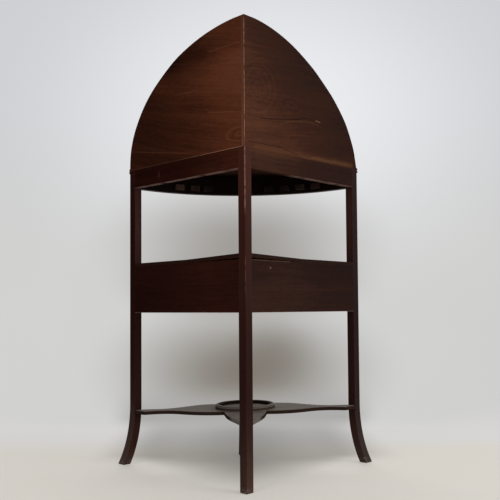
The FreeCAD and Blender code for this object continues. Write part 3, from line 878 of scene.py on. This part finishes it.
dress("right_splash_board", along_right, right_board_tones, 11, figure=0.46, tilt=0.26,
      field=board_tone_and_light_falloff(dark=0.38, bright=-0.06, lean=0.4, low=0.2, high=0.85, top_fall=0.44),
      marks=right_board_marks, **board_finish)
print("marks on the right board:", len(right_board_marks))

# %% [markdown]
# The left board has a whorl near the corner, a long dark crack with a pale scratch beyond its end and a
# golden band along its foot. Its end grain shows at the corner.

# %% Left splash board
corner_grain_tones = [(104, 64, 48), (94, 56, 40), (98, 60, 44), (84, 50, 36)]
left_board_marks = (
    crack((82, 52, 33), 0.55, 0.03, 0.42, 0.796, 0.012, 0.012, 0.012),
    crack((92, 62, 40), 0.4, 0.24, 0.4, 0.799, 0.0, 0.01, 0.005),
    rings((44, 22, 15), 0.32, 0.048, 0.928, 0.046, 0.054, 5.0),
    rings((100, 64, 46), 0.08, 0.045, 0.936, 0.1, 0.095, 5.0),
    rings((40, 22, 15), 0.4, 0.165, 0.918, 0.06, 0.026, 2.5),
    crack((40, 16, 10), 0.6, 0.008, 0.075, 0.865, 0.05, 0.004, 0.0016),
    crack((22, 8, 5), 0.9, 0.05, 0.225, 0.866, 0.17, 0.004, 0.0018, -0.003),
    crack((36, 16, 10), 0.5, 0.21, 0.262, 0.894, 0.06, 0.004, 0.0016),
    crack((104, 70, 50), 0.26, 0.12, 0.275, 0.862, 0.15, 0.003, 0.002, 0.01),
    on_the_back(crack((140, 108, 84), 0.6, 0.257, 0.282, 0.896, -0.06, 0.002, 0.0016)),
    crack((28, 11, 7), 0.7, 0.012, 0.13, 0.8055, 0.02, 0.006, 0.0018),
    crack((28, 11, 7), 0.6, 0.122, 0.19, 0.808, -0.17, 0.004, 0.0018),
    patch((170, 134, 112), 0.7, 0.0, 0.882, 0.0018, 0.008),
    end_grain(corner_grain_tones),
    # Along the corner: a dark band, and over it a thin painted highlight on the board's edge.
    corner_arris(0.8, 1.095, (56, 30, 20), 0.45, 0.005),
    corner_arris(0.8, 1.095, (158, 114, 92), 0.7, 0.0013),
)
left_board_tones = [(30, 17, 14), (54, 30, 20), (90, 54, 37)]
dress("left_splash_board", along_left, left_board_tones, 13, figure=0.44, tilt=0.12,
      field=board_tone_and_light_falloff(dark=0.4, bright=-0.08, lean=-0.7, low=0.17, high=0.76, top_fall=0.1),
      marks=left_board_marks, **board_finish)
print("marks on the left board:", len(left_board_marks))

# %% [markdown]
# ## Rails and tier panels
# The rails under the basin board and the panels of the drawer tier are redder and darker than the
# boards above them. Their lower arrises carry a thin painted highlight, where the bottom face catches
# light from the floor. The Bevel node's rubbing would fall on every edge alike, so this line is drawn by
# its height instead.

# %% Rails and panels
arris_highlight_tone = (136, 110, 102)
arris_width = 0.0014
panel_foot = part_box("left_side_panel")[0][2]
panel_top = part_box("left_side_panel")[1][2]


# Painted highlight: a thin pale line along the lower arris, where the bottom face catches floor light.
def lower_arris_highlight(piece, clean):
    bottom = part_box(piece)[0][2]

    def painted(place, color):
        x, y, z = split(place)
        patchy = fade(noise(place, 30.0), 0.25, 0.55)
        near = fade(z, bottom + arris_width, bottom + 0.3 * arris_width)
        return mix(near * patchy * fade(x, clean - 0.06, clean) * 0.6, color, arris_highlight_tone)
    return painted


def wall_piece(name, direction, tones, seed, field, marks=(), clean=0.0):
    dress(name, direction, tones, seed, field=field, figure=0.5, polish=0.3,
          marks=(lower_arris_highlight(name, clean), *marks))


def paler_below(field, amount):
    def shaded(place):
        return fade(split(place)[2], panel_top, panel_foot) * amount + field(place)
    return shaded


wall_piece("upper_right_rail", along_right, [(22, 7, 6), (42, 18, 12), (70, 36, 25)], 15,
           tone_and_light_falloff(0.3, 0.03, 0.26, 0.74), (patch((84, 50, 38), 0.5, 0.311, 0.766, 0.004, 0.014),))
# The grey darkest tone of this rail and of the left panel below is a painted sheen at their outer ends.
wall_piece("upper_left_rail", along_left, [(38, 25, 24), (48, 30, 24), (70, 45, 34)], 17,
           tone_and_light_falloff(0.34, 0.05, 0.24, 0.8), (patch((84, 56, 36), 0.35, 0.08, 0.789, 0.2, 0.013),),
           clean=0.2)
wall_piece("right_side_panel", along_right, [(24, 9, 8), (39, 18, 14), (59, 30, 23)], 19,
           tone_and_light_falloff(0.42, 0.1, 0.28, 0.62))
wall_piece("left_side_panel", along_left, [(30, 23, 23), (40, 26, 23), (60, 38, 31)], 21,
           paler_below(tone_and_light_falloff(0.48, 0.1, 0.28, 0.56), 0.2),
           (patch((120, 92, 78), 0.6, 0.085, 0.514, 0.005, 0.004),
            crack((104, 78, 66), 0.5, 0.02, 0.16, panel_top - 0.001, 0.0, 0.001, 0.0016)))
print("panels from z", round(panel_foot, 3), "to", round(panel_top, 3))

# %% [markdown]
# ## The bowed front
# The front was the show side: straight polished mahogany with a warm gloss. The frieze's hidden side is
# nearly black, partly from its dark stain and partly as painted shade, and the photograph looks straight
# into that dark hollow. A second piece of wood could carry the stain and shade. It is a mark instead,
# which starts a little inside the bow's radius.

# %% Bowed front
bow_radius = 0.4
bow_middle_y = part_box("bow_frieze")[0][1] + bow_radius
frieze_thickness = 0.016
front_tones = [(52, 22, 13), (78, 36, 21), (106, 54, 32)]
cove_tones = [(40, 17, 11), (64, 29, 18)]


# Painted shade and dark stain on the frieze's hidden side.
def hollow_stain_and_shade(place, color):
    x, y, z = split(place)
    inner_start = bow_radius - 0.3 * frieze_thickness
    inner_full = bow_radius - 0.6 * frieze_thickness
    mask = fade(distance(x, y - bow_middle_y), inner_start, inner_full)
    return mix(mask * 0.98, color, (16, 8, 5))


def front_wood(name, tones, seed, direction=across_stand, marks=()):
    return mahogany(name, direction, tones, seed, figure=0.9, roughness=0.42, gloss=0.03, wear=0.35,
                    wear_tone=(150, 96, 66), waviness=0.02, polish=0.55, marks=marks)


finish_piece("bow_frieze", front_wood("bow_frieze_timber", front_tones, 23, marks=(hollow_stain_and_shade,)))
show_pieces = ("low_bow_rail", "high_bow_rail", "drawer_front", "left_dummy_front", "right_dummy_front")
for seed, piece in enumerate(show_pieces, start=24):
    finish_piece(piece, front_wood(piece + "_timber", front_tones, seed))
for piece in ("left_partition", "right_partition"):
    finish_piece(piece, front_wood(piece + "_timber", front_tones, 29, upright))
cove_wood = front_wood("cove_timber", cove_tones, 30)
for piece in ("bow_cove", "left_cove", "right_cove"):
    finish_piece(piece, cove_wood)
print("bow centre", round(bow_middle_y, 4), "radius", bow_radius)

# %% [markdown]
# ## Basin board and shelf
# The flat boards gather dust on top, while their edges stay dark. From behind only their undersides are
# seen. The basin board's is nearly black from dark stain and painted shade, but for its corner, which has
# painted light; the shelf's is pale, bare wood brightened with painted light. A mark that reads which way
# the surface looks keeps each underside apart from its top.

# %% Basin board and shelf
underside_strength = 0.98
wall_edge_strength = 0.85
shelf_underside = (128, 84, 64)


def underside(tone, corner_tone):
    def painted(place, color):
        down = fade(surface_normal(place.tree)[2], -0.3, -0.8)
        tint = mix(fade(split(place)[1], -0.14, -0.07), tone, corner_tone)
        return mix(down * underside_strength, color, tint)
    return painted


def wall_edge(left_tone, right_tone):
    def painted(place, color):
        x, y, z = split(place)
        near = fade(back_corner - (y + abs(x)), 0.003, 0.001)
        tone = mix(fade(x, -0.01, 0.01), left_tone, right_tone)
        return mix(near * wall_edge_strength, color, tone)
    return painted


def flat_piece(name, tones, seed, dust, **marks):
    dress(name, across_stand, tones, seed, figure=0.6, roughness=0.5, dust=dust, dust_tone=(128, 121, 115),
          polish=0.3, **marks)


# The basin board's underside: dark stain and painted shade, with painted light at its back corner.
flat_piece("basin_board", [(52, 25, 17), (86, 45, 30)], 31, 0.35,
           marks=(underside((12, 8, 6), (54, 35, 27)),))
# The shelf's underside: bare wood brightened with painted light.
flat_piece("tier_shelf", [(34, 16, 11), (62, 31, 21)], 33, 0.4,
           marks=(underside(shelf_underside, shelf_underside), wall_edge((38, 28, 25), (36, 21, 17))))
print("flat boards finished")

# %% [markdown]
# ## Platform and dish
# The platform's film of dust is so thick that the wood hardly shows, and it runs over the upper arris
# of its edge. The dish has a painted shadow inside its rim, and its side carries painted light on the
# rounded top and at its foot, with painted shade between. The platform leans a little, so heights are
# counted from its leaning top face.

# %% Platform and dish
dish_low, dish_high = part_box("ewer_dish")
dish_middle_y = 0.5 * (dish_low[1] + dish_high[1])
rim_outer = 0.5 * (dish_high[1] - dish_low[1])
rim_inner = rim_outer - 0.014
rim_height = 0.012
rim_side_light_and_shade = [(98, 88, 82), (58, 47, 42), (60, 50, 45), (118, 108, 101), (128, 118, 110)]
platform_lean = 0.0154
platform_top = dish_low[2] + rim_outer * platform_lean


def above_platform(place):
    x, y, z = split(place)
    return x * platform_lean + z - platform_top


def standing_face(tree):
    return fade(abs(surface_normal(tree)[2]), 0.6, 0.3)


def dusty_edge(place, color):
    upper = fade(-above_platform(place), 0.0016, 0.0004) * 0.2
    near_tip = fade(split(place)[1], 0.09, 0.13) * 0.6
    return mix(standing_face(place.tree) * calc("MAXIMUM", upper, near_tip), color, (118, 111, 105))


# Paints a shadow inside the rim, and painted light and shade up the outer side.
def dish_rim(place, color):
    x, y, z = split(place)
    radius = distance(x, y - dish_middle_y)
    middle = 0.5 * (rim_outer + rim_inner)
    inside = fade(radius, middle + 0.001, middle - 0.001)
    inside = inside * fade(radius, rim_inner - 0.004, rim_inner - 0.002)
    color = mix(inside * 0.9, color, (24, 13, 9))
    side = fade(radius, rim_outer - 0.005, rim_outer - 0.003) * standing_face(place.tree)
    return mix(side * 0.9, color, ramp(above_platform(place) / rim_height, rim_side_light_and_shade))


flat_piece("stretcher_platform", [(34, 24, 20), (50, 36, 30)], 35, 0.92, late_marks=(dusty_edge,))
flat_piece("ewer_dish", [(22, 15, 12), (36, 26, 22)], 37, 0.84, late_marks=(dish_rim,))
print("rim", round(2 * rim_outer, 4), "m across")

# %% [markdown]
# ## Softwood inside
# The drawer, the tier's base, the stops and the dowels are plain pine, gone brown with age. The
# mahogany function makes it too, with pale tones and few pores. The glue blocks behind the frieze are
# dark with stain and painted shade, darkest near the middle, and show only as slightly lighter lumps in
# the dark.

# %% Softwood
pine_tones = [(112, 76, 46), (138, 98, 62), (160, 120, 80)]
base_tones = [(84, 56, 36), (112, 78, 50)]
block_tones = [(26, 19, 16), (48, 34, 29), (78, 57, 49)]


def softwood(name, direction, seed, tones=pine_tones, field=even, figure=1.0):
    dress(name, direction, tones, seed, field=field, figure=figure, roughness=0.62, gloss=0.03, wear=0.35,
          wear_tone=(176, 142, 104), pores=0.15, dust=0.25, dust_tone=(120, 106, 90), waviness=0.03)


# Painted shade: blocks near the middle are darker, and those at negative x darker still.
def blocks_shaded_in_middle(place):
    x, y, z = split(place)
    return fade(abs(x), 0.08, 0.18) * (fade(x, -0.02, 0.02) * 0.35 + 0.55)


softwood("drawer_left_side", front_to_back, 41)
softwood("drawer_right_side", front_to_back, 43)
softwood("drawer_back", across_stand, 45)
softwood("drawer_bottom", across_stand, 47)
softwood("tier_base", across_stand, 49, base_tones)
softwood("drawer_stops", across_stand, 51)
softwood("splash_dowels", upright, 53)
softwood("frieze_glue_blocks", across_stand, 55, block_tones, blocks_shaded_in_middle, figure=0.3)
print("softwood finished")

# %% [markdown]
# ## Brass
# The knobs are cast brass, bright where fingers reach them and brown with tarnish in the necks. A cloud
# of noise lays the tarnish, and the rubbed edges bring the bright metal back.

# %% Brass
def brass(name, seed):
    material = new_material(name)
    tree = material.node_tree
    shader = tree.nodes["Principled BSDF"].inputs
    point = stretch(object_point(tree), (1.0, 1.0, 1.0), (0.3 * seed, 0.1 * seed, 0.7 * seed))
    tarnish = fade(noise(point, 90.0, 4.0, 0.6), 0.35, 0.7)
    rub = use(rubbed_edge, Point=point, Width=0.0012)
    color = mix(tarnish, (176, 138, 76), (104, 74, 40))
    feed(shader["Base Color"], mix(rub["Mask"] * 0.6, color, (214, 178, 108)))
    feed(shader["Metallic"], 1.0)
    feed(shader["Roughness"], tarnish * 0.22 + 0.26)
    relief(shader, rub["Normal"], noise(point, 320.0), strength=0.2, depth=0.0003)
    return material


for index, piece in enumerate([name for name in nodes if "knob" in name]):
    finish_piece(piece, brass(piece + "_brass", index))
    print(piece, "is brass")

# %% [markdown]
# ## Cock beads
# A cock bead is a thin half-round strip let into the edge of a drawer front. The frame has them as
# square strips. They could be rounded by hand, corner by corner. Geometry Nodes follow the rule
# instead: a rectangle gets a half-round section with its back let into the rebate, and is then bent
# round the bow. First comes the section.

# %% Bead section
bead_width = 0.003
bead_depth = 0.006
bead_projection = 0.0015
full_round_share = 0.97


def position(tree):
    return split(reading(tree, "GeometryNodeInputPosition", "Position"))


def strip_section(tree, given):
    half = given["Width"] * 0.5
    crown = -given["Projection"]
    back = given["Depth"]
    box = new_value(tree, "GeometryNodeCurvePrimitiveQuadrilateral", [("mode", "POINTS")],
                    Point_1=join(-half, crown, 0.0), Point_2=join(half, crown, 0.0),
                    Point_3=join(half, back, 0.0), Point_4=join(-half, back, 0.0))
    in_front = calc("LESS_THAN", position(tree)[1], 0.0)
    return new_value(tree, "GeometryNodeFilletCurve", [("mode", "POLY")], Curve=box, Count=5,
                     Radius=in_front * (half * full_round_share))


print("bead", bead_width, "wide and", bead_depth + bead_projection, "deep")

# %% [markdown]
# Every strip lies on the bow, so each point of the flat rectangle is laid on the arc. The strips of the
# dummy fronts also fan out with the bow, more and more towards the side leg.

# %% Bend to the bow
def bend_to_bow(tree, given):
    x, y, out = position(tree)
    start, end, radius = given["Start"], given["End"], given["Radius"]
    inner = calc("MINIMUM", abs(start), abs(end))
    outer = calc("MAXIMUM", abs(start), abs(end))
    across = x + (start + end) * 0.5
    share = (abs(across) - inner) / (outer - inner)
    fan = share * given["Fan"] * (across / radius)
    forward = calc("SQRT", 1.0 - fan * fan)
    bow = out * forward + calc("SQRT", radius * radius - across * across)
    return join(out * fan + across, given["Middle"] - bow, y + (given["Low"] + given["High"]) * 0.5)


print("bow of radius", bow_radius)

# %% [markdown]
# At its corners a strip is mitred. Its section is widened there by the square root of two, and the
# height above the front is divided by the same number, so that the bead stays level round the corner.

# %% Cock bead nodes
bead_sizes = ("Start", "End", "Low", "High", "Width", "Depth", "Projection", "Radius", "Middle", "Fan")
nearly_all = 0.9999


def bead_tree():
    tree = bpy.data.node_groups.new("cock_bead", "GeometryNodeTree")
    tree.interface.new_socket("Geometry", in_out="OUTPUT", socket_type="NodeSocketGeometry")
    for label in bead_sizes:
        add_socket(tree, label, "INPUT")
    tree.interface.new_socket("Timber", in_out="INPUT", socket_type="NodeSocketMaterial")
    given = values_of(tree.nodes.new("NodeGroupInput"))
    half_wide = (given["End"] - given["Start"] - given["Width"]) * 0.5
    half_tall = (given["High"] - given["Low"] - given["Width"]) * 0.5
    ring = new_value(tree, "GeometryNodeCurvePrimitiveQuadrilateral", Width=half_wide * 2.0,
                     Height=half_tall * 2.0)
    ring = new_value(tree, "GeometryNodeSubdivideCurve", Curve=ring, Cuts=15)
    ring = new_value(tree, "GeometryNodeSetCurveNormal", [("mode", "Z_UP")], Curve=ring)
    x, y, z = position(tree)
    at_side = calc("GREATER_THAN", abs(x), half_wide * nearly_all)
    at_end = calc("GREATER_THAN", abs(y), half_tall * nearly_all)
    capture = tree.nodes.new("GeometryNodeCaptureAttribute")
    capture.capture_items.new("FLOAT", "Mitre")
    feed(capture.inputs["Geometry"], ring)
    feed(capture.inputs["Mitre"], at_side * at_end * (math.sqrt(2.0) - 1.0) + 1.0)
    kept = values_of(capture)
    strip = new_value(tree, "GeometryNodeCurveToMesh", Curve=kept["Geometry"], Scale=kept["Mitre"],
                      Profile_Curve=strip_section(tree, given))
    x, y, z = position(tree)
    level = join(x, y, z / kept["Mitre"])
    flat = new_value(tree, "GeometryNodeSetPosition", Geometry=strip, Position=level)
    bent = new_value(tree, "GeometryNodeSetPosition", Geometry=flat, Position=bend_to_bow(tree, given))
    real = new_value(tree, "GeometryNodeRealizeInstances", Geometry=bent)
    painted = new_value(tree, "GeometryNodeSetMaterial", Geometry=real, Material=given["Timber"])
    feed(tree.nodes.new("NodeGroupOutput").inputs["Geometry"], painted)
    return tree


cock_bead = bead_tree()
print(cock_bead.name, "takes", len(cock_bead.interface.items_tree) - 1, "values")

# %% [markdown]
# The evaluated strip is copied into a plain mesh, which then stands for the square strips of the frame.
# An end that touches a side leg is drawn in a little, because the bead leans outwards there with the
# bow.

# %% Make the beads
bead_tones = [(44, 19, 12), (84, 40, 24)]
leg_reach = 0.2


def strip_mesh(values):
    holder = show("holder", bpy.data.meshes.new("holder"))
    modifier = holder.modifiers.new("beads", "NODES")
    modifier.node_group = cock_bead
    for item in cock_bead.interface.items_tree:
        if item.in_out == "INPUT":
            modifier[item.identifier] = values[item.name]
    ready = holder.evaluated_get(bpy.context.evaluated_depsgraph_get())
    data = bpy.data.meshes.new_from_object(ready)
    bpy.data.objects.remove(holder)
    return data


def make_beads(name, cad_node, body, seed, fan):
    low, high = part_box(cad_node)
    ends = [low[0], high[0]]
    if fan:
        drawn_in = 1.0 + bead_projection / bow_radius
        ends = [end / drawn_in if abs(end) > leg_reach else end for end in ends]
    sizes = (*ends, low[2], high[2], bead_width, bead_depth, bead_projection, bow_radius, bow_middle_y, fan)
    values = dict(zip(bead_sizes, sizes))
    values["Timber"] = front_wood(name + "_timber", bead_tones, seed)
    strip = show(name, strip_mesh(values))
    strip.data.name = name
    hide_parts(cad_node)
    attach(strip, body)
    print(name, "faces:", len(strip.data.polygons))


make_beads("drawer_bead_strips", "drawer_beads", "drawer", 61, 0.0)
make_beads("left_dummy_bead_strips", "left_dummy_beads", "carcass", 62, 1.0)
make_beads("right_dummy_bead_strips", "right_dummy_beads", "carcass", 63, 1.0)
